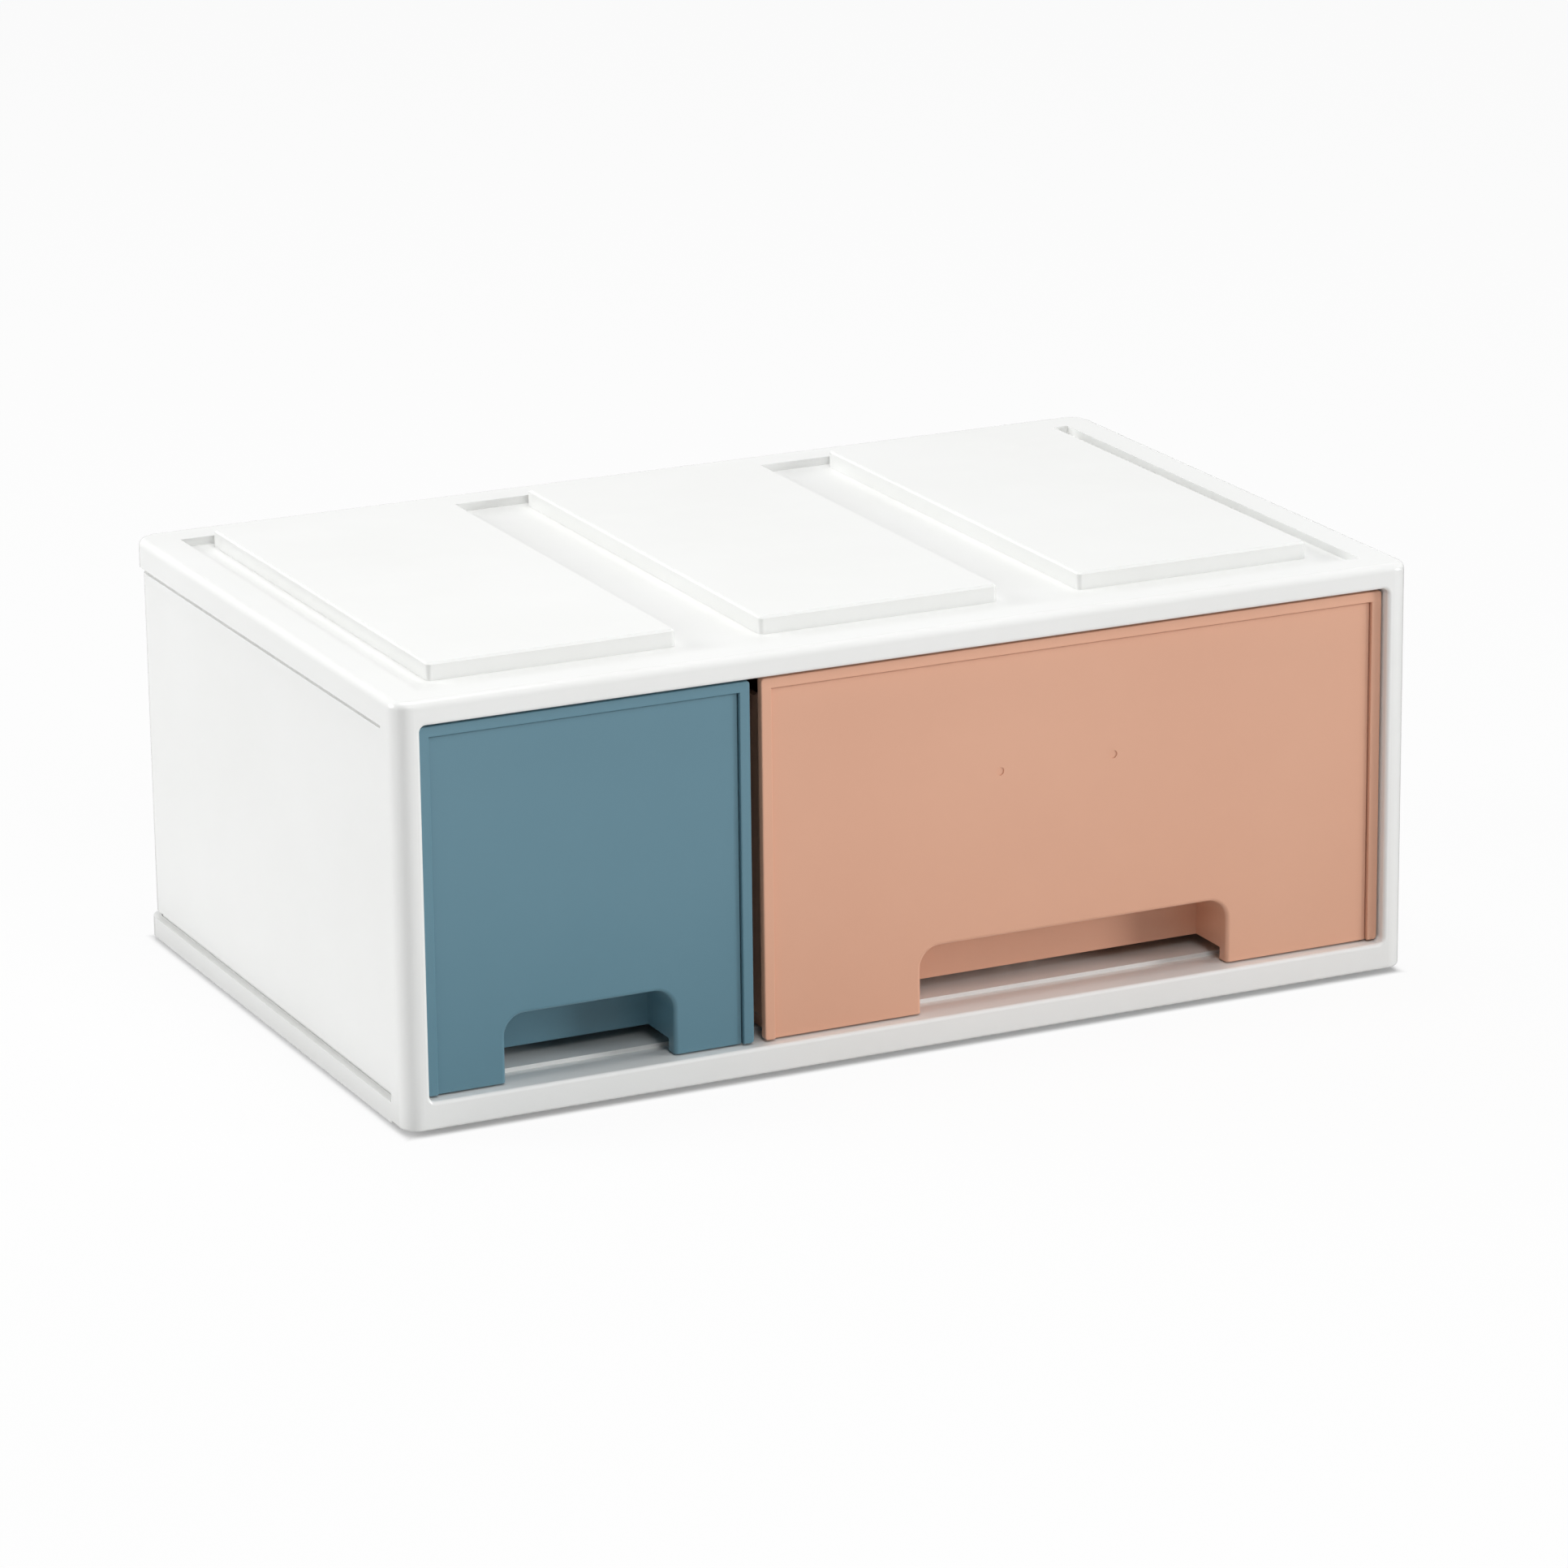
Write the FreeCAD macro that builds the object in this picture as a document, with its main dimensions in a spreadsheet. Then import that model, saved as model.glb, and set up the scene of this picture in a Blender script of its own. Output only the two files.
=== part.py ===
import FreeCAD, Part
import math
import os
import re
import Sketcher

# A stackable desktop drawer box: a snapped-together cabinet with a narrow and a wide drawer.
# Millimetres, X to the right, Y to the back, Z up. The origin is on the table, under the middle.

SIZES = {
    # cabinet
    "overall_width": 262,
    "overall_depth": 168,
    "overall_height": 105.2,
    "foot_height": 1.5,
    "panel_wall": 2.2,
    "cabinet_corner_radius": 6,
    "cabinet_edge_radius": 1.8,
    "cabinet_front_radius": 4.5,
    # front frame
    "frame_depth": 9,
    "stile_width": 6,
    "top_rail": 5.8,
    "bottom_rail": 6.7,
    "frame_foot_radius": 0.8,
    "opening_corner_radius": 1.5,
    "opening_edge_radius": 0.9,
    # how the panels plug into each other
    "fit_clearance": 0.2,
    "tongue_length": 4,
    "tongue_thickness": 1.5,
    "skirt_thickness": 2,
    "slot_width": 1.8,
    "rib_thickness": 1.8,
    "slot_floor_thickness": 2,
    "top_skirt_height": 7,
    "bottom_skirt_height": 5,
    "shadow_gap": 1.5,
    "side_inset": 1,
    "side_return": 10,
    "back_lip": 4,
    "back_lip_thickness": 1.3,
    # stacking relief of the top
    "channel_depth": 2,
    "pad_rise": 2.2,
    "side_border": 9,
    "back_border": 10,
    "pad_width": 62,
    "pad_setback": 21.2,
    "pad_back_groove": 2,
    "pad_corner_radius": 1.2,
    "pad_edge_bevel": 0.5,
    # floor of the cabinet and its ribs
    "sill_groove_width": 5,
    "sill_groove_depth": 1,
    "guide_height": 2.4,
    "guide_thickness": 1.8,
    "guide_setback": 30,
    "guide_clearance": 0.5,
    "foot_rib_width": 4,
    "stacking_clearance": 1,
    "cross_rib_setback": 34,
    "cross_rib_thickness": 1.6,
    "closing_stop_width": 14,
    "closing_stop_thickness": 3,
    "closing_stop_height": 11,
    # drawers
    "side_gap": 0.5,
    "divider_gap": 2.9,
    "top_gap": 1,
    "bottom_gap": 0.5,
    "front_setback": 2.5,
    "rim_width": 2.6,
    "rim_edge_radius": 0.3,
    "lip_thickness": 2,
    "front_corner_radius": 0.8,
    "front_wall": 1.8,
    "plate_thickness": 1.6,
    "plate_recess": 1,
    "plate_gap": 0.3,
    "notch_edge_radius": 1,
    "pocket_height": 16,
    "pocket_depth": 16,
    "pocket_radius": 5,
    "small_pocket_width": 42.5,
    "large_pocket_width": 82,
    "tray_inset": 1.5,
    "tray_wall": 1.8,
    "tray_floor": 2,
    "tray_drop": 6,
    "tray_corner_radius": 5,
    "tray_floor_bevel": 1.5,
    "tray_sweep_radius": 4,
    "ride_height": 3.4,
    "skid_width": 2,
    "skid_inset": 2,
    "running_clearance": 0.3,
    "stop_tab_width": 20,
    "stop_tab_thickness": 2,
    "stop_tab_clearance": 1,
    "stop_gap": 0.5,
    "clip_width": 6,
    "clip_thickness": 1.4,
    "clip_hook": 0.8,
    "clip_hook_length": 1.4,
    "clip_inset": 14,
    "mark_radius": 1,
    "mark_depth": 0.25,
    "mark_spacing": 30,
    "mark_drop": 31,
    "mark_offset": 5,
    # how far a rib or boss is rooted in the wall that carries it
    "root": 0.2,
    # allowance past a face, for every cut
    "overrun": 1,
}

# The top has this many pads and the front this many equal modules.
MODULES = 3

# Places and lengths that follow from the sizes.
PLACES = {
    "half_width": "overall_width / 2",
    "box_front": "-overall_depth / 2",
    "box_back": "overall_depth / 2",
    "frame_back": "box_front + frame_depth",
    "opening_half": "half_width - stile_width",
    "cabinet_top": "overall_height - pad_rise",
    "opening_top": "cabinet_top - top_rail",
    "opening_bottom": "foot_height + bottom_rail",
    "module_pitch": f"2 * opening_half / {MODULES}",
    # plug-in joint, measured inwards from the outer face
    "slot_inner": "skirt_thickness + slot_width",
    "rib_inner": "slot_inner + rib_thickness",
    "tongue_outer": "skirt_thickness + fit_clearance",
    "tongue_inner": "slot_inner - fit_clearance",
    "tongue_front": "frame_back - tongue_length + fit_clearance",
    "tongue_half": "half_width - side_border - fit_clearance",
    # top
    "top_under": "cabinet_top - panel_wall",
    "pad_under": "overall_height - panel_wall",
    "channel_floor": "cabinet_top - channel_depth",
    "channel_under": "channel_floor - panel_wall",
    "top_skirt_low": "cabinet_top - top_skirt_height",
    "top_tongue_low": "channel_floor - tongue_thickness",
    "pad_front": "box_front + pad_setback",
    "pad_back": "box_back - back_border - pad_back_groove",
    "channel_half": "half_width - side_border",
    # bottom
    "cabinet_floor": "opening_bottom",
    "floor_under": "cabinet_floor - panel_wall",
    "slot_floor": "foot_height + slot_floor_thickness",
    "bottom_skirt_top": "foot_height + bottom_skirt_height",
    "bottom_tongue_low": "slot_floor + fit_clearance",
    "bottom_tongue_high": "bottom_tongue_low + tongue_thickness",
    "guide_front": "box_front + guide_setback",
    "cross_rib_front": "box_front + cross_rib_setback",
    "cross_rib_low": "foot_height + pad_rise + stacking_clearance",
    "foot_rib_near": "pad_width / 2 + stacking_clearance",
    "foot_rib_far": "foot_rib_near + foot_rib_width",
    "foot_rib_front": "frame_back + stacking_clearance",
    "foot_rib_back": "box_back - back_border - stacking_clearance",
    # walls
    "wall_low": "bottom_skirt_top + shadow_gap",
    "wall_high": "top_skirt_low - shadow_gap",
    "wall_tongue_low": "slot_floor + fit_clearance",
    "wall_tongue_high": "top_under - fit_clearance",
    "side_end": "half_width - side_return",
    "back_edge": "side_end - fit_clearance",
    "back_inner": "box_back - tongue_inner",
    # drawers
    "drawer_front": "box_front + front_setback",
    "front_low": "opening_bottom + bottom_gap",
    "front_high": "opening_top - top_gap",
    "seat_face": "drawer_front + plate_recess + plate_thickness",
    "front_inner": "seat_face + front_wall",
    "pocket_high": "front_low + pocket_height",
    "pocket_back": "drawer_front + pocket_depth",
    "tray_low": "cabinet_floor + ride_height",
    "tray_high": "front_high - tray_drop",
    "tray_back": "pad_back - panel_wall - stop_gap",
    "tab_high": "pad_under - stop_tab_clearance",
    "front_module": f"(2 * opening_half - 2 * side_gap - divider_gap) / {MODULES}",
    "small_left": "side_gap - opening_half",
    "small_right": "small_left + front_module",
    "large_left": "small_right + divider_gap",
    "large_right": "opening_half - side_gap",
    "divider_half": "-(small_right + large_left) / 2",
    "small_half": "(small_right - small_left) / 2",
    "large_half": "(large_right - large_left) / 2",
    "small_centre": "(small_right + small_left) / 2",
    "large_centre": "(large_right + large_left) / 2",
    "plate_margin": "rim_width + plate_gap",
    "skid_outer": "tray_inset + skid_inset",
    "skid_inner": "skid_outer + skid_width",
    "guide_reach": "divider_gap / 2 + skid_outer - guide_clearance",
    "side_guide_reach": "side_gap + skid_outer - guide_clearance",
}

NEARLY = 1e-4

doc = FreeCAD.newDocument("DrawerBox")
sheet = doc.addObject("Spreadsheet::Sheet", "Sizes")


def fill_sheet():
    for row, (name, number) in enumerate(SIZES.items(), 1):
        sheet.set(f"A{row}", name)
        sheet.set(f"B{row}", str(number))
        sheet.setAlias(f"B{row}", name)
    doc.recompute()


def bound(text):
    """The expression that ties a text of size and place names to the sheet's cells."""
    def named(match):
        word = match.group()
        if word in PLACES:
            return f"({bound(PLACES[word])})"
        return f"Sizes.{word}" if word in SIZES else word
    return re.sub(r"[a-z_]+", named, text)


def value(text):
    return float(sheet.evalExpression(bound(text)))


def new_body(name):
    body = doc.addObject("PartDesign::Body", name)
    body.Label = name
    return body


def sketch_on(body, name, role, offset):
    """A sketch on one of the body's origin planes, moved along that plane's normal."""
    sketch = body.newObject("Sketcher::SketchObject", name)
    plane = next(face for face in body.Origin.OriginFeatures if face.Role == role)
    sketch.AttachmentSupport = [(plane, "")]
    sketch.MapMode = "FlatFace"
    sketch.setExpression("AttachmentOffset.Base.z", bound(offset))
    return sketch


def level_sketch(body, name, height):
    return sketch_on(body, name, "XY_Plane", height)


def upright_sketch(body, name, place):
    """A sketch that faces the front of the box, on the plane at this place along Y."""
    return sketch_on(body, name, "XZ_Plane", f"-({place})")


def constrain(sketch, text, kind, *where):
    index = sketch.addConstraint(Sketcher.Constraint(kind, *where, value(text)))
    sketch.setExpression(f"Constraints[{index}]", bound(text))


def rectangle(sketch, left, right, low, high):
    """A rectangle between four bound places, drawn from its lower left corner."""
    x0, x1, y0, y1 = (value(text) for text in (left, right, low, high))
    corners = [FreeCAD.Vector(x, y) for x, y in ((x0, y0), (x1, y0), (x1, y1), (x0, y1))]
    first = sketch.GeometryCount
    for side in range(4):
        sketch.addGeometry(Part.LineSegment(corners[side], corners[(side + 1) % 4]))
    for side in range(4):
        following = first + (side + 1) % 4
        sketch.addConstraint(Sketcher.Constraint("Coincident", first + side, 2, following, 1))
        direction = "Vertical" if side % 2 else "Horizontal"
        sketch.addConstraint(Sketcher.Constraint(direction, first + side))
    constrain(sketch, left, "DistanceX", first, 1)
    constrain(sketch, low, "DistanceY", first, 1)
    constrain(sketch, right, "DistanceX", first + 2, 1)
    constrain(sketch, high, "DistanceY", first + 2, 1)


def rounded_rectangle(sketch, left, right, low, high, radius):
    """A rectangle between four bound places, its corners rounded to one bound radius."""
    x0, x1, y0, y1, r = (value(text) for text in (left, right, low, high, radius))
    point = FreeCAD.Vector
    sides = [
        (point(x0 + r, y0), point(x1 - r, y0)),
        (point(x1, y0 + r), point(x1, y1 - r)),
        (point(x1 - r, y1), point(x0 + r, y1)),
        (point(x0, y1 - r), point(x0, y0 + r)),
    ]
    turns = [(x1 - r, y0 + r), (x1 - r, y1 - r), (x0 + r, y1 - r), (x0 + r, y0 + r)]
    centres = [point(x, y) for x, y in turns]
    first = sketch.GeometryCount
    for start, end in sides:
        sketch.addGeometry(Part.LineSegment(start, end))
    for turn, centre in enumerate(centres):
        angle = (turn - 1) * math.pi / 2
        circle = Part.Circle(centre, FreeCAD.Vector(0, 0, 1), r)
        sketch.addGeometry(Part.ArcOfCircle(circle, angle, angle + math.pi / 2))
    for side in range(4):
        corner = first + 4 + side
        sketch.addConstraint(Sketcher.Constraint("Tangent", first + side, 2, corner, 1))
        sketch.addConstraint(Sketcher.Constraint("Tangent", corner, 2, first + (side + 1) % 4, 1))
        direction = "Vertical" if side % 2 else "Horizontal"
        sketch.addConstraint(Sketcher.Constraint(direction, first + side))
        if side:
            sketch.addConstraint(Sketcher.Constraint("Equal", first + 4, corner))
    constrain(sketch, radius, "Radius", first + 4)
    constrain(sketch, low, "DistanceY", first, 1)
    constrain(sketch, right, "DistanceX", first + 1, 1)
    constrain(sketch, high, "DistanceY", first + 2, 1)
    constrain(sketch, left, "DistanceX", first + 3, 1)


def circle(sketch, x, y, radius):
    centre = FreeCAD.Vector(value(x), value(y))
    index = sketch.addGeometry(Part.Circle(centre, FreeCAD.Vector(0, 0, 1), value(radius)))
    constrain(sketch, x, "DistanceX", index, 3)
    constrain(sketch, y, "DistanceY", index, 3)
    constrain(sketch, radius, "Radius", index)


def pad(body, sketch, length, backwards=False):
    """Material from the sketch along its plane's normal, or backwards from it."""
    feature = body.newObject("PartDesign::Pad", f"{sketch.Name}_pad")
    feature.Profile = sketch
    feature.setExpression("Length", bound(length))
    feature.Reversed = backwards
    doc.recompute()
    return feature


def pocket(body, sketch, length, backwards=False):
    """A cut from the sketch along its plane's normal, or backwards from it."""
    before = body.Shape.Volume
    feature = body.newObject("PartDesign::Pocket", f"{sketch.Name}_pocket")
    feature.Profile = sketch
    feature.setExpression("Length", bound(length))
    feature.Reversed = not backwards
    doc.recompute()
    if body.Shape.Volume > before - NEARLY:
        raise RuntimeError(f"{feature.Name} cuts nothing")
    return feature


def repeat(body, feature, axis, span, copies):
    """Evenly spaced copies of a feature over a bound span along its sketch's axis."""
    pattern = body.newObject("PartDesign::LinearPattern", f"{feature.Name}_row")
    pattern.Originals = [feature]
    pattern.Direction = (feature.Profile[0], [axis])
    pattern.setExpression("Length", bound(span))
    pattern.Occurrences = copies
    body.Tip = pattern
    doc.recompute()
    return pattern


def dress_edges(body, kind, measure, length, chosen):
    """Round or bevel the edges of the body that pass a test."""
    names = [f"Edge{i}" for i, edge in enumerate(body.Shape.Edges, 1) if chosen(edge)]
    base = body.Tip
    feature = body.newObject(f"PartDesign::{kind}", f"{base.Name}_{kind.lower()}")
    feature.Base = (base, names)
    feature.setExpression(measure, bound(length))
    doc.recompute()
    return feature


def fillet(body, radius, chosen):
    return dress_edges(body, "Fillet", "Radius", radius, chosen)


def chamfer(body, size, chosen):
    return dress_edges(body, "Chamfer", "Size", size, chosen)


def spans(edge):
    box = edge.BoundBox
    return {"x": (box.XMin, box.XMax), "y": (box.YMin, box.YMax), "z": (box.ZMin, box.ZMax)}


def lies_at(edge, **places):
    """Whether the whole edge lies at these places along the named axes."""
    reach = spans(edge)
    return all(abs(end - place) < NEARLY for axis, place in places.items() for end in reach[axis])


def runs_along(edge, axis):
    reach = spans(edge)
    flat = all(high - low < NEARLY for name, (low, high) in reach.items() if name != axis)
    return flat and reach[axis][1] - reach[axis][0] > NEARLY


def within(edge, **ranges):
    """Whether the whole edge lies between these places along the named axes."""
    reach = spans(edge)
    return all(
        low - NEARLY < reach[axis][0] and reach[axis][1] < high + NEARLY
        for axis, (low, high) in ranges.items()
    )


def stretch(side, outer, inner):
    """Two bound places of a stretch on the left or right of the middle, the lower one first."""
    if side == "left":
        return f"-({outer})", f"-({inner})"
    return inner, outer


def make_front_frame():
    """The one-piece ring round the drawers, slotted behind for the tongues of the panels."""
    body = new_body("front_frame")
    ring = upright_sketch(body, "frame_ring", "frame_back")
    rectangle(ring, "-half_width", "half_width", "foot_height", "cabinet_top")
    rounded_rectangle(ring, "-opening_half", "opening_half", "opening_bottom", "opening_top",
                      "opening_corner_radius")
    pad(body, ring, "frame_depth")

    slots = upright_sketch(body, "frame_slots", "frame_back")
    for side in ("left", "right"):
        wall = stretch(side, "half_width - skirt_thickness", "half_width - slot_inner")
        rectangle(slots, *wall, "slot_floor", "top_under")
    reach = "tongue_half + fit_clearance"
    for low, high in (("top_tongue_low", "channel_floor"), ("bottom_tongue_low", "bottom_tongue_high")):
        rectangle(slots, f"-({reach})", reach, f"{low} - fit_clearance", f"{high} + fit_clearance")
    pocket(body, slots, "tongue_length")

    front, back = value("box_front"), value("frame_back")
    opening = {
        "x": (value("-opening_half"), value("opening_half")),
        "z": (value("opening_bottom"), value("opening_top")),
    }
    fillet(body, "opening_edge_radius", lambda edge: lies_at(edge, y=front) and within(edge, **opening))
    fillet(body, "cabinet_front_radius",
           lambda edge: runs_along(edge, "z") and lies_at(edge, y=front) and not within(edge, **opening))
    for radius, place in (("cabinet_edge_radius", "cabinet_top"), ("frame_foot_radius", "foot_height")):
        level = value(place)
        fillet(body, radius, lambda edge: lies_at(edge, z=level) and not lies_at(edge, y=back))
    return body


def open_outline(sketch, inset, radius):
    """The cabinet's plan at an inset from its outer face, square where it meets the frame."""
    rounded_rectangle(sketch, f"{inset} - half_width", f"half_width - {inset}",
                      "frame_back - cabinet_corner_radius", f"box_back - {inset}", radius)


def wall_slot(sketch):
    """The groove for the side and back walls, a U in plan that is open at the frame."""
    open_outline(sketch, "skirt_thickness", "cabinet_corner_radius - skirt_thickness")
    rounded_rectangle(sketch, "slot_inner - half_width", "half_width - slot_inner",
                      "frame_back - cabinet_corner_radius + overrun", "box_back - slot_inner",
                      "cabinet_corner_radius - slot_inner")


def trim_front(body, name, low, high):
    """Cut away what an outline has in front of the frame's back face."""
    spare = level_sketch(body, name, low)
    rectangle(spare, "-half_width - overrun", "half_width + overrun",
              "frame_back - cabinet_corner_radius - overrun", "frame_back")
    pocket(body, spare, f"{high} - ({low})")


def make_top_panel():
    """The lid, with three raised pads between channels that take the ribs of a box above."""
    body = new_body("top_panel")
    slab = level_sketch(body, "top_slab", "top_skirt_low")
    open_outline(slab, "0", "cabinet_corner_radius")
    pad(body, slab, "top_skirt_height")
    trim_front(body, "top_spare", "top_skirt_low - overrun", "cabinet_top + overrun")
    top, front = value("cabinet_top"), value("frame_back")
    fillet(body, "cabinet_edge_radius", lambda edge: lies_at(edge, z=top) and not lies_at(edge, y=front))

    channels = level_sketch(body, "stacking_channels", "channel_floor")
    rectangle(channels, "-channel_half", "channel_half", "frame_back - overrun", "box_back - back_border")
    pocket(body, channels, "channel_depth + overrun")
    row = f"module_pitch * {MODULES - 1}"
    raised = level_sketch(body, "raised_pad", "channel_floor - root")
    rounded_rectangle(raised, "-module_pitch - pad_width / 2", "pad_width / 2 - module_pitch",
                      "pad_front", "pad_back", "pad_corner_radius")
    rising = pad(body, raised, "channel_depth + pad_rise + root")
    repeat(body, rising, "H_Axis", row, MODULES)
    pad_top = value("overall_height")
    chamfer(body, "pad_edge_bevel", lambda edge: lies_at(edge, z=pad_top))

    inside = level_sketch(body, "top_inside", "top_skirt_low")
    open_outline(inside, "rib_inner", "rib_thickness")
    pocket(body, inside, "channel_under - top_skirt_low")
    hollow = level_sketch(body, "pad_hollow", "channel_under - root")
    rounded_rectangle(hollow, "panel_wall - pad_width / 2 - module_pitch",
                      "pad_width / 2 - panel_wall - module_pitch",
                      "pad_front + panel_wall", "pad_back - panel_wall", "pad_corner_radius")
    carved = pocket(body, hollow, "pad_under - channel_under + root")
    repeat(body, carved, "H_Axis", row, MODULES)

    slot = level_sketch(body, "top_slot", "top_skirt_low")
    wall_slot(slot)
    pocket(body, slot, "top_under - top_skirt_low")

    tongue = upright_sketch(body, "top_tongue", "frame_back")
    rectangle(tongue, "-tongue_half", "tongue_half", "top_tongue_low", "channel_floor")
    pad(body, tongue, "frame_back - tongue_front")
    return body


def make_bottom_panel():
    """The floor, with slots for the walls, guides for the drawers and stacking ribs below."""
    body = new_body("bottom_panel")
    slab = level_sketch(body, "bottom_slab", "foot_height")
    open_outline(slab, "0", "cabinet_corner_radius")
    pad(body, slab, "bottom_skirt_height")
    raised = level_sketch(body, "raised_floor", "foot_height")
    open_outline(raised, "slot_inner", "cabinet_corner_radius - slot_inner")
    pad(body, raised, "cabinet_floor - foot_height")
    trim_front(body, "bottom_spare", "foot_height - overrun", "cabinet_floor + overrun")

    slot = level_sketch(body, "bottom_slot", "slot_floor")
    wall_slot(slot)
    pocket(body, slot, "bottom_skirt_top - slot_floor + overrun")

    groove = level_sketch(body, "sill_groove", "cabinet_floor - sill_groove_depth")
    rectangle(groove, "-opening_half", "opening_half", "frame_back - overrun", "frame_back + sill_groove_width")
    pocket(body, groove, "sill_groove_depth + overrun")

    hollow = level_sketch(body, "underside", "foot_height")
    rounded_rectangle(hollow, "rib_inner - half_width", "half_width - rib_inner",
                      "frame_back + panel_wall", "box_back - rib_inner", "rib_thickness")
    pocket(body, hollow, "floor_under - foot_height")

    ribs = level_sketch(body, "stacking_ribs", "0")
    for near, far in (("-foot_rib_far", "-foot_rib_near"), ("foot_rib_near", "foot_rib_far")):
        rectangle(ribs, f"{near} - module_pitch", f"{far} - module_pitch", "foot_rib_front", "foot_rib_back")
    paired = pad(body, ribs, "floor_under + root")
    repeat(body, paired, "H_Axis", f"module_pitch * {MODULES - 1}", MODULES)

    cross = level_sketch(body, "cross_rib", "cross_rib_low")
    rectangle(cross, "rib_inner - half_width - root", "half_width - rib_inner + root",
              "cross_rib_front", "cross_rib_front + cross_rib_thickness")
    crossing = pad(body, cross, "floor_under - cross_rib_low + root")
    repeat(body, crossing, "V_Axis", "-2 * cross_rib_front - cross_rib_thickness", MODULES)

    guides = level_sketch(body, "drawer_guides", "cabinet_floor - root")
    faces = ["divider_half + guide_reach - guide_thickness", "divider_half - guide_reach",
             "opening_half - side_guide_reach"]
    for side in ("left", "right"):
        for face in faces:
            rectangle(guides, *stretch(side, f"{face} + guide_thickness", face), "guide_front", "tray_back")
    pad(body, guides, "guide_height + root")

    stop = level_sketch(body, "closing_stop", "cabinet_floor - root")
    rectangle(stop, "-module_pitch - closing_stop_width / 2", "closing_stop_width / 2 - module_pitch",
              "tray_back + stop_gap", "tray_back + stop_gap + closing_stop_thickness")
    stopping = pad(body, stop, "closing_stop_height + root")
    repeat(body, stopping, "H_Axis", f"module_pitch * {MODULES - 1}", MODULES)

    tongue = upright_sketch(body, "bottom_tongue", "frame_back")
    rectangle(tongue, "-tongue_half", "tongue_half", "bottom_tongue_low", "bottom_tongue_high")
    pad(body, tongue, "frame_back - tongue_front")
    return body


def make_side_panel(side):
    """A side wall that turns the back corner, rebated to plug in above, below and in front."""
    body = new_body(f"{side}_side_panel")
    sign = -1 if side == "left" else 1

    def turn_corner(inset):
        """Round the upright back edge at this inset from the cabinet's outer faces."""
        corner = {"x": sign * value(f"half_width - {inset}"), "y": value(f"box_back - {inset}")}
        fillet(body, f"cabinet_corner_radius - {inset}",
               lambda edge: runs_along(edge, "z") and lies_at(edge, **corner))

    wall = level_sketch(body, f"{side}_wall_face", "wall_low")
    rectangle(wall, *stretch(side, "half_width - side_inset", "side_end"),
              "frame_back + fit_clearance", "box_back - side_inset")
    pad(body, wall, "wall_high - wall_low")
    tongue = level_sketch(body, f"{side}_wall_tongue", "wall_tongue_low")
    rectangle(tongue, *stretch(side, "half_width - tongue_outer", "side_end"),
              "tongue_front", "box_back - tongue_outer")
    pad(body, tongue, "wall_tongue_high - wall_tongue_low")
    turn_corner("side_inset")
    turn_corner("tongue_outer")

    room = level_sketch(body, f"{side}_wall_room", "wall_tongue_low - overrun")
    rectangle(room, *stretch(side, "half_width - tongue_inner", "side_end - overrun"),
              "tongue_front - overrun", "back_inner")
    pocket(body, room, "wall_tongue_high - wall_tongue_low + 2 * overrun")
    turn_corner("tongue_inner")
    return body


def make_back_panel():
    """The back wall, between the returns of the side walls and lipped behind them."""
    body = new_body("back_panel")
    face = upright_sketch(body, "back_face", "box_back - side_inset")
    rectangle(face, "-back_edge", "back_edge", "wall_low", "wall_high")
    pad(body, face, "tongue_inner - side_inset")
    tongue = upright_sketch(body, "back_tongue", "box_back - tongue_outer")
    rectangle(tongue, "-back_edge", "back_edge", "wall_tongue_low", "wall_tongue_high")
    pad(body, tongue, "tongue_inner - tongue_outer")
    lip_heights = ("cabinet_floor + fit_clearance", "wall_high")
    web = upright_sketch(body, "back_web", "back_inner")
    rectangle(web, "-back_edge", "back_edge", *lip_heights)
    pad(body, web, "fit_clearance + back_lip_thickness")
    lip = upright_sketch(body, "back_lips", "back_inner - fit_clearance")
    rectangle(lip, "-back_edge - back_lip", "back_edge + back_lip", *lip_heights)
    pad(body, lip, "back_lip_thickness")
    return body


def modules_of(kind):
    """The modules that a drawer takes: the first for the small one, the others for the large one."""
    return range(1) if kind == "small" else range(1, MODULES)


def clip_places(kind):
    """The clips' middles along X and their undersides along Z, in a high and a low row."""
    steps = len(modules_of(kind))
    for z in ("(front_high - clip_inset)", "(pocket_high + clip_inset)"):
        for step in range(steps + 1):
            yield f"({kind}_half - clip_inset) * {2 * step / steps - 1}", z


def finger_outline(sketch, kind):
    """The finger pocket seen from the front: a notch in the drawer's lower edge."""
    half = f"{kind}_pocket_width / 2"
    rounded_rectangle(sketch, f"-{half}", half, "front_low - pocket_radius - overrun", "pocket_high",
                      "pocket_radius")


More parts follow.
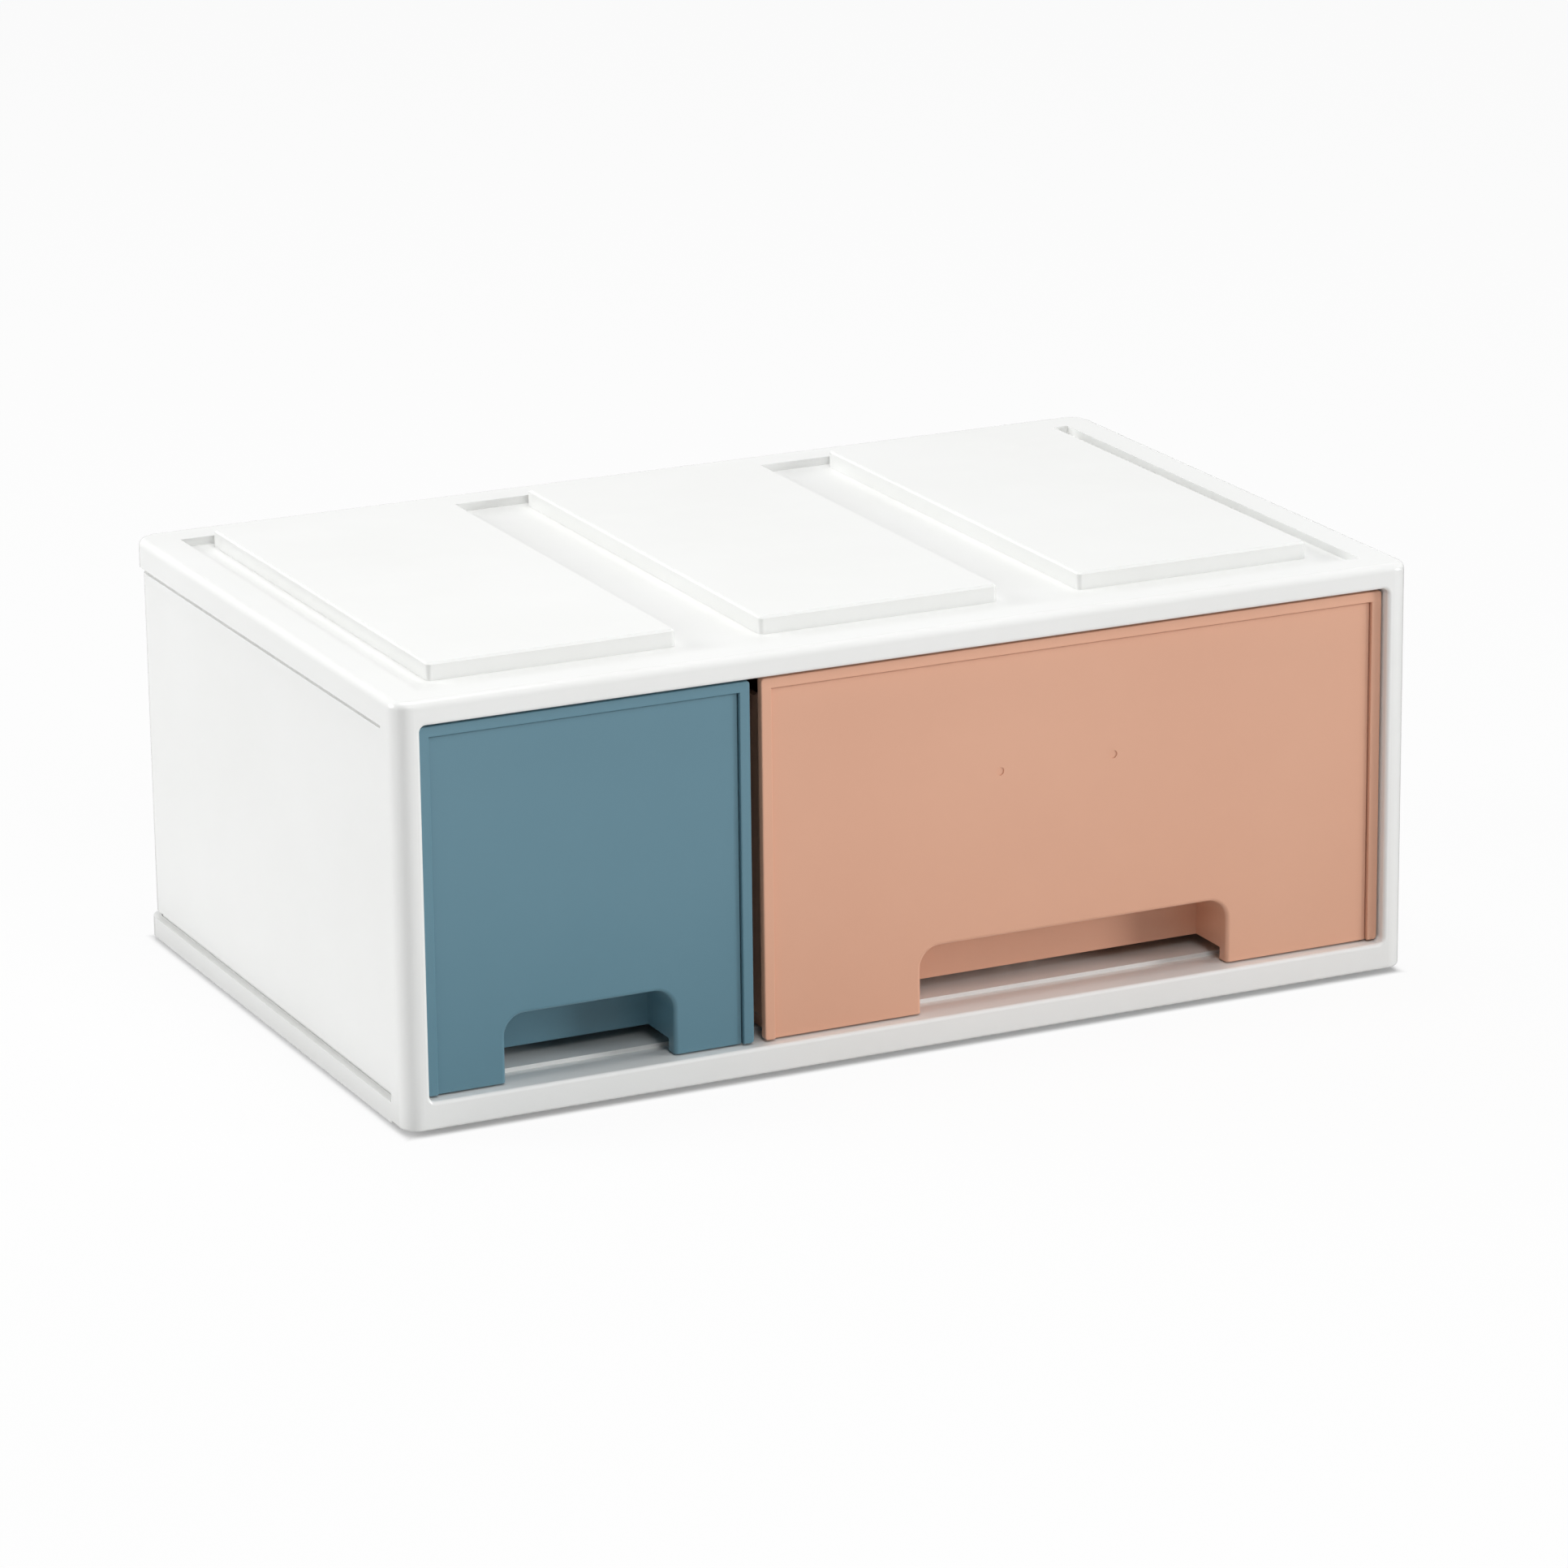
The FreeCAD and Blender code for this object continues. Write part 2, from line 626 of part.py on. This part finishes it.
def make_tray(kind):
    """A drawer's box in one moulding, its front rimmed on three sides round a sunk finger pocket."""
    body = new_body(f"{kind}_drawer_tray")
    half = f"{kind}_half"
    tray_half = f"({half} - tray_inset)"
    room_half = f"({tray_half} - tray_wall)"

    tub = level_sketch(body, f"{kind}_tub", "tray_low")
    rounded_rectangle(tub, f"-{tray_half}", tray_half, "seat_face - tray_corner_radius", "tray_back",
                      "tray_corner_radius")
    pad(body, tub, "tray_high - tray_low")
    low = value("tray_low")
    chamfer(body, "tray_floor_bevel", lambda edge: lies_at(edge, z=low))
    room = level_sketch(body, f"{kind}_tub_room", "tray_low + tray_floor")
    rounded_rectangle(room, f"-{room_half}", room_half, "front_inner - tray_corner_radius",
                      "tray_back - tray_wall", "tray_corner_radius - tray_wall")
    pocket(body, room, "tray_high - tray_low - tray_floor + overrun")
    spare = level_sketch(body, f"{kind}_tub_spare", "tray_low - overrun")
    rectangle(spare, f"-{half}", half, "seat_face - tray_corner_radius - overrun", "front_inner")
    pocket(body, spare, "tray_high - tray_low + 2 * overrun")

    front = upright_sketch(body, f"{kind}_front_block", "front_inner")
    rounded_rectangle(front, f"-{tray_half}", tray_half, "front_low", "front_high", "front_corner_radius")
    pad(body, front, "front_inner - drawer_front")
    lip = upright_sketch(body, f"{kind}_front_lip", "drawer_front + lip_thickness")
    rounded_rectangle(lip, f"-{half}", half, "front_low", "front_high", "front_corner_radius")
    pad(body, lip, "lip_thickness")
    shoulder = {"y": value("front_inner"), "z": value("tray_high")}
    fillet(body, "tray_sweep_radius", lambda edge: runs_along(edge, "x") and lies_at(edge, **shoulder))
    hump = level_sketch(body, f"{kind}_pocket_hump", "tray_low")
    hump_half = f"({kind}_pocket_width / 2 + tray_wall)"
    rectangle(hump, f"-{hump_half}", hump_half, "front_inner - root", "pocket_back + tray_wall")
    pad(body, hump, "pocket_high + tray_wall - tray_low")

    seat = upright_sketch(body, f"{kind}_plate_seat", "seat_face")
    rectangle(seat, f"rim_width - {half}", f"{half} - rim_width",
              "front_low - overrun", "front_high - rim_width")
    pocket(body, seat, "seat_face - drawer_front + overrun")
    fingers = upright_sketch(body, f"{kind}_finger_pocket", "pocket_back")
    finger_outline(fingers, kind)
    pocket(body, fingers, "pocket_depth + overrun")
    front_face = value("drawer_front")
    fillet(body, "rim_edge_radius", lambda edge: lies_at(edge, y=front_face))

    skids = level_sketch(body, f"{kind}_skids", "cabinet_floor + running_clearance")
    for side in ("left", "right"):
        skid = stretch(side, f"{half} - skid_outer", f"{half} - skid_inner")
        rectangle(skids, *skid, "front_inner - root", "tray_back - tray_corner_radius")
    pad(body, skids, "ride_height - running_clearance + tray_floor / 2")

    tab = upright_sketch(body, f"{kind}_stop_tab", "tray_back")
    for module in modules_of(kind):
        centre = f"module_pitch * {module - (MODULES - 1) / 2} - {kind}_centre"
        rectangle(tab, f"{centre} - stop_tab_width / 2", f"{centre} + stop_tab_width / 2",
                  "tray_high - tray_wall", "tab_high")
    pad(body, tab, "stop_tab_thickness")

    slots = upright_sketch(body, f"{kind}_clip_slots", "seat_face")
    for x, z in clip_places(kind):
        rectangle(slots, f"{x} - clip_width / 2 - fit_clearance", f"{x} + clip_width / 2 + fit_clearance",
                  f"{z} - fit_clearance", f"{z} + clip_thickness + clip_hook + fit_clearance")
    pocket(body, slots, "front_wall + overrun", backwards=True)
    place_drawer(body, kind)
    return body


def make_front_plate(kind):
    """The coloured face: a plate sunk into the drawer's rim and clipped through its front wall."""
    body = new_body(f"{kind}_drawer_front")
    half = f"{kind}_half"
    plate = upright_sketch(body, f"{kind}_plate", "seat_face")
    rectangle(plate, f"plate_margin - {half}", f"{half} - plate_margin",
              "front_low", "front_high - plate_margin")
    pad(body, plate, "plate_thickness")
    notch = upright_sketch(body, f"{kind}_finger_notch", "seat_face + overrun")
    finger_outline(notch, kind)
    pocket(body, notch, "plate_thickness + 2 * overrun")
    face = value("drawer_front + plate_recess")
    pocket_half = value(f"{kind}_pocket_width / 2")
    corner = {"x": (-pocket_half, pocket_half), "z": (value("front_low"), value("pocket_high"))}
    fillet(body, "notch_edge_radius", lambda edge: lies_at(edge, y=face) and within(edge, **corner))

    clips = upright_sketch(body, f"{kind}_clips", "seat_face")
    for x, z in clip_places(kind):
        rectangle(clips, f"{x} - clip_width / 2", f"{x} + clip_width / 2", z, f"{z} + clip_thickness")
    pad(body, clips, "front_wall + fit_clearance + clip_hook_length", backwards=True)
    hooks = upright_sketch(body, f"{kind}_clip_hooks", "front_inner + fit_clearance")
    for x, z in clip_places(kind):
        rectangle(hooks, f"{x} - clip_width / 2", f"{x} + clip_width / 2",
                  f"{z} + clip_thickness - root", f"{z} + clip_thickness + clip_hook")
    pad(body, hooks, "clip_hook_length", backwards=True)

    if kind == "large":
        marks = upright_sketch(body, "moulding_marks", "drawer_front + plate_recess + mark_depth")
        for x in ("-mark_spacing / 2 - mark_offset", "mark_spacing / 2 - mark_offset"):
            circle(marks, x, "front_high - mark_drop", "mark_radius")
        pocket(body, marks, "mark_depth + overrun")
    place_drawer(body, kind)
    return body


def place_drawer(body, kind):
    """Drawer pieces are drawn about the drawer's own middle and stand at its place in the box."""
    body.setExpression("Placement.Base.x", bound(f"{kind}_centre"))


def check_document(bodies):
    for thing in doc.Objects:
        faults = [state for state in thing.State if state in ("Invalid", "Error")]
        if faults:
            raise RuntimeError(f"{thing.Name} is {faults}")
    for body in bodies:
        if body.Shape.isNull() or not body.Shape.isValid() or len(body.Shape.Solids) != 1:
            raise RuntimeError(f"{body.Label} is not one valid solid")


def main():
    fill_sheet()
    bodies = [make_front_frame(), make_top_panel(), make_bottom_panel()]
    bodies += [make_side_panel("left"), make_side_panel("right"), make_back_panel()]
    for kind in ("small", "large"):
        bodies += [make_tray(kind), make_front_plate(kind)]
    doc.recompute()
    check_document(bodies)
    os.makedirs("parts", exist_ok=True)
    for body in bodies:
        body.Shape.exportStep(f"parts/{body.Label}.step")
        print(body.Label, round(body.Shape.Volume), body.Shape.BoundBox)
    print("travel", value("tray_back - stop_tab_thickness - pad_front - panel_wall - stop_gap"))


main()
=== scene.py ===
import bpy
from mathutils import Matrix, Vector

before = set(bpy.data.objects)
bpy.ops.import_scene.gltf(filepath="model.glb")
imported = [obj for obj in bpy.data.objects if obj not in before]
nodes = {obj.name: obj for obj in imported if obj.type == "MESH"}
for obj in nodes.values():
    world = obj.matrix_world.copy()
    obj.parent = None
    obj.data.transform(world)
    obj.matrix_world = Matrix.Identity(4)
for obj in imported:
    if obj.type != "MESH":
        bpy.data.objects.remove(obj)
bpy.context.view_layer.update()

scene = bpy.context.scene

# The photograph's view, as fitted to the box's corners: millimetres for the lens, metres for the place.
LENS = 154.0324
SENSOR_WIDTH = 36
VIEW_RIGHT = (0.901627, -0.432376, -0.010916)
VIEW_UP = (0.135497, 0.258402, 0.956488)
VIEW_FORWARD = (0.410742, 0.863874, -0.291568)
VIEW_PLACE = (-0.66826, -1.41527, 0.52055)
CLIP_NEAR = 0.05
CLIP_FAR = 50

# Name, place, point aimed at, diameter and power of each disk lamp, in metres and watts.
LAMPS = (
    ("overhead", (0, 0.05, 1.7), (0, 0, 0.05), 1.1, 15.5),
    ("key", (-1.5, 0.8, 0.65), (0, 0, 0.05), 1.0, 18.5),
    ("front", (-0.1, -0.7, 0.62), (0, -0.08, 0.09), 0.4, 2),
    ("fill", (2.2, -1.6, 0.45), (0, -0.08, 0.08), 0.8, 32),
)
WORLD_GLOW = 0.15

# The floor is a grey that the lamps light, under a white of its own that rays to the camera see.
FLOOR_SIZE = 30
FLOOR_GREY = 0.75
FLOOR_WHITE_SHARE = 0.93
# Under the cabinet the white fades to this share, a painted contact shadow that lets the floor's own
# lit shade show there.
PAINTED_CONTACT_SHADOW_SHARE = 0.22
UNDER_BOX_REACH = {"X": 0.131, "Y": 0.084}
UNDER_BOX_FADE = (-0.002, 0.001)
# The floor's white as reflections see it: full at the left and well ahead, dim just before the front,
# where a shadow of the box is painted.
REFLECTED_PAINTED_SHADOW_SHARE = 0.15
PAINTED_SHADOW_LEFT_EDGE = (-0.13, -0.145)
PAINTED_SHADOW_FRONT_EDGE = (-0.12, -0.36)

# A noise texture's values lie between these for the most part.
NOISE_LOW = 0.3
NOISE_HIGH = 0.7
CLOUD_NOISE = {"scale": 14, "detail": 3}
GLOSS_NOISE = {"scale": 45, "detail": 4}
WAVE_NOISE = {"scale": 11, "detail": 1}
GRAIN_NOISE = {"scale": 1800, "detail": 2}
WAVE_HEIGHT = 0.001
GRAIN_HEIGHT = 0.00005
PLASTIC_IOR = 1.5

# Darkest and lightest colour, smoothest and roughest gloss, strength of waves and of grain.
PLASTICS = {
    "white_plastic": ((0.84, 0.845, 0.83), (0.87, 0.875, 0.865), (0.16, 0.24), 0.05, 0.02),
    "blue_plastic": ((0.112, 0.232, 0.294), (0.12, 0.245, 0.308), (0.28, 0.36), 0.05, 0.1),
    "peach_plastic": ((0.71, 0.385, 0.262), (0.74, 0.41, 0.28), (0.28, 0.36), 0.05, 0.1),
}
DRAWER_PLASTICS = {"small_drawer": "blue_plastic", "large_drawer": "peach_plastic"}


class Shading:
    """A node tree with short calls for adding and joining its nodes."""

    def __init__(self, tree, output):
        self.tree = tree
        tree.nodes.clear()
        self.output = self.add(output)

    def add(self, kind, **settings):
        node = self.tree.nodes.new(kind)
        for name, setting in settings.items():
            if name in node.inputs:
                node.inputs[name].default_value = setting
            else:
                setattr(node, name, setting)
        return node

    def join(self, source, target):
        self.tree.links.new(source, target)

    def combine(self, operation, *terms):
        """The outcome of a sum or comparison of sockets and plain numbers."""
        node = self.add("ShaderNodeMath", operation=operation)
        for term, target in zip(terms, node.inputs):
            if isinstance(term, (int, float)):
                target.default_value = term
            else:
                self.join(term, target)
        return node.outputs[0]

    def mix(self, share, first, second):
        """The first shader where the share is nought, the second where it is one."""
        node = self.add("ShaderNodeMixShader")
        for source, target in zip((share, first.outputs[0], second.outputs[0]), node.inputs):
            self.join(source, target)
        self.join(node.outputs[0], self.output.inputs["Surface"])

    def noise(self, scale, detail):
        place = self.add("ShaderNodeTexCoord")
        noise = self.add("ShaderNodeTexNoise", Scale=scale, Detail=detail)
        self.join(place.outputs["Object"], noise.inputs["Vector"])
        return noise.outputs["Fac"]

    def rescale(self, source, start, end, low=0, high=1, curve="LINEAR"):
        """A number that runs from low to high while the source runs from start to end."""
        node = self.add("ShaderNodeMapRange", interpolation_type=curve)
        ends = {"From Min": start, "From Max": end, "To Min": low, "To Max": high}
        for name, number in ends.items():
            node.inputs[name].default_value = number
        self.join(source, node.inputs["Value"])
        return node.outputs[0]

    def step(self, source, start, end):
        return self.rescale(source, start, end, curve="SMOOTHSTEP")

    def colours(self, source, low, high):
        """A colour that runs from low to high over the noise's usual range."""
        ramp = self.add("ShaderNodeValToRGB")
        stops = zip(ramp.color_ramp.elements, (NOISE_LOW, NOISE_HIGH), (low, high))
        for stop, position, colour in stops:
            stop.position = position
            stop.color = (*colour, 1)
        self.join(source, ramp.inputs["Fac"])
        return ramp.outputs["Color"]


def make_camera():
    """The photograph's view: from the front left, a little above, with a long lens."""
    data = bpy.data.cameras.new("camera")
    data.sensor_width = SENSOR_WIDTH
    data.lens = LENS
    data.clip_start = CLIP_NEAR
    data.clip_end = CLIP_FAR
    camera = bpy.data.objects.new("camera", data)
    scene.collection.objects.link(camera)
    turn = Matrix((VIEW_RIGHT, VIEW_UP, -Vector(VIEW_FORWARD))).transposed()
    camera.matrix_world = Matrix.Translation(VIEW_PLACE) @ turn.to_4x4()
    scene.camera = camera


def moulded_plastic(name):
    """Moulded plastic: faint cloudiness of colour, uneven gloss, slow waves and a fine grain."""
    dark, light, gloss, waviness, grain = PLASTICS[name]
    material = bpy.data.materials.new(name)
    material.use_nodes = True
    m = Shading(material.node_tree, "ShaderNodeOutputMaterial")
    shader = m.add("ShaderNodeBsdfPrincipled", IOR=PLASTIC_IOR)
    m.join(shader.outputs[0], m.output.inputs["Surface"])
    m.join(m.colours(m.noise(**CLOUD_NOISE), dark, light), shader.inputs["Base Color"])
    roughness = m.rescale(m.noise(**GLOSS_NOISE), NOISE_LOW, NOISE_HIGH, *gloss)
    m.join(roughness, shader.inputs["Roughness"])
    waves = m.add("ShaderNodeBump", Strength=waviness, Distance=WAVE_HEIGHT)
    m.join(m.noise(**WAVE_NOISE), waves.inputs["Height"])
    fine = m.add("ShaderNodeBump", Strength=grain, Distance=GRAIN_HEIGHT)
    m.join(m.noise(**GRAIN_NOISE), fine.inputs["Height"])
    m.join(waves.outputs[0], fine.inputs["Normal"])
    m.join(fine.outputs[0], shader.inputs["Normal"])
    return material


def wear(name, material):
    """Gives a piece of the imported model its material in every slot."""
    slots = nodes[name].material_slots
    for slot in slots:
        slot.material = material
    if not slots:
        nodes[name].data.materials.append(material)


def dress_pieces():
    materials = {name: moulded_plastic(name) for name in PLASTICS}
    for name in nodes:
        drawer = name.rpartition("_")[0]
        wear(name, materials[DRAWER_PLASTICS.get(drawer, "white_plastic")])


def direct_view(m):
    """One for rays from the camera or a reflection and nought for the rays that carry soft light."""
    path = m.add("ShaderNodeLightPath")
    return path, m.combine("MAXIMUM", path.outputs["Is Camera Ray"], path.outputs["Is Glossy Ray"])


def outside_painted_contact_shadow(m, place):
    """One on the open floor and far less underneath the cabinet, with a short soft step: the mask of a
    painted contact shadow.
    """
    near, far = UNDER_BOX_FADE
    steps = []
    for axis, reach in UNDER_BOX_REACH.items():
        size = m.combine("ABSOLUTE", place.outputs[axis])
        steps.append(m.step(size, reach + near, reach + far))
    outside = m.combine("MAXIMUM", *steps)
    return m.combine("MULTIPLY_ADD", outside, 1 - PAINTED_CONTACT_SHADOW_SHARE, PAINTED_CONTACT_SHADOW_SHARE)


def outside_painted_floor_shadow(m, place):
    """One on the floor left of the box and well in front of it, falling to nought at its front: the
    mask of a painted shadow.
    """
    left = m.step(place.outputs["X"], *PAINTED_SHADOW_LEFT_EDGE)
    ahead = m.step(place.outputs["Y"], *PAINTED_SHADOW_FRONT_EDGE)
    return m.combine("MAXIMUM", left, ahead)


def make_floor():
    """A wide pale floor that takes the box's shadow, with a painted contact shadow under the box and a
    painted shadow before its front in reflections.
    """
    bpy.ops.mesh.primitive_plane_add(size=FLOOR_SIZE)
    floor = bpy.context.object
    floor.name = "floor"
    material = bpy.data.materials.new("floor_white")
    material.use_nodes = True
    m = Shading(material.node_tree, "ShaderNodeOutputMaterial")
    position = m.add("ShaderNodeNewGeometry")
    place = m.add("ShaderNodeSeparateXYZ")
    m.join(position.outputs["Position"], place.inputs[0])
    path, direct = direct_view(m)
    # Reflections see the floor's white dimmed by a painted shadow just before the box's front.
    reflected_with_painted_shadow = m.combine("MULTIPLY_ADD", outside_painted_floor_shadow(m, place), 1 - REFLECTED_PAINTED_SHADOW_SHARE, REFLECTED_PAINTED_SHADOW_SHARE)
    grey = m.add("ShaderNodeBsdfDiffuse", Color=(FLOOR_GREY, FLOOR_GREY, FLOOR_GREY, 1))
    glow = m.add("ShaderNodeEmission", Color=(1, 1, 1, 1))
    m.join(m.combine("MAXIMUM", path.outputs["Is Camera Ray"], reflected_with_painted_shadow), glow.inputs["Strength"])
    # Camera and reflections see the white cut back under the box: a painted contact shadow.
    shown = m.combine("MULTIPLY", direct, outside_painted_contact_shadow(m, place))
    m.mix(m.combine("MULTIPLY", shown, FLOOR_WHITE_SHARE), grey, glow)
    floor.data.materials.append(material)


def make_world():
    """White all round for the camera and for reflections, and a dim glow as light."""
    world = bpy.data.worlds.new("studio")
    world.use_nodes = True
    scene.world = world
    m = Shading(world.node_tree, "ShaderNodeOutputWorld")
    soft = m.add("ShaderNodeBackground", Color=(1, 1, 1, 1), Strength=WORLD_GLOW)
    white = m.add("ShaderNodeBackground", Color=(1, 1, 1, 1))
    m.mix(direct_view(m)[1], soft, white)


def make_lamp(name, place, aim, size, power):
    data = bpy.data.lights.new(name, "AREA")
    data.shape = "DISK"
    data.size = size
    data.energy = power
    light = bpy.data.objects.new(name, data)
    light.location = place
    light.rotation_euler = (Vector(aim) - Vector(place)).to_track_quat("-Z", "Y").to_euler()
    scene.collection.objects.link(light)


make_camera()
make_floor()
make_world()
for lamp in LAMPS:
    make_lamp(*lamp)
dress_pieces()

scene.view_settings.view_transform = "Standard"
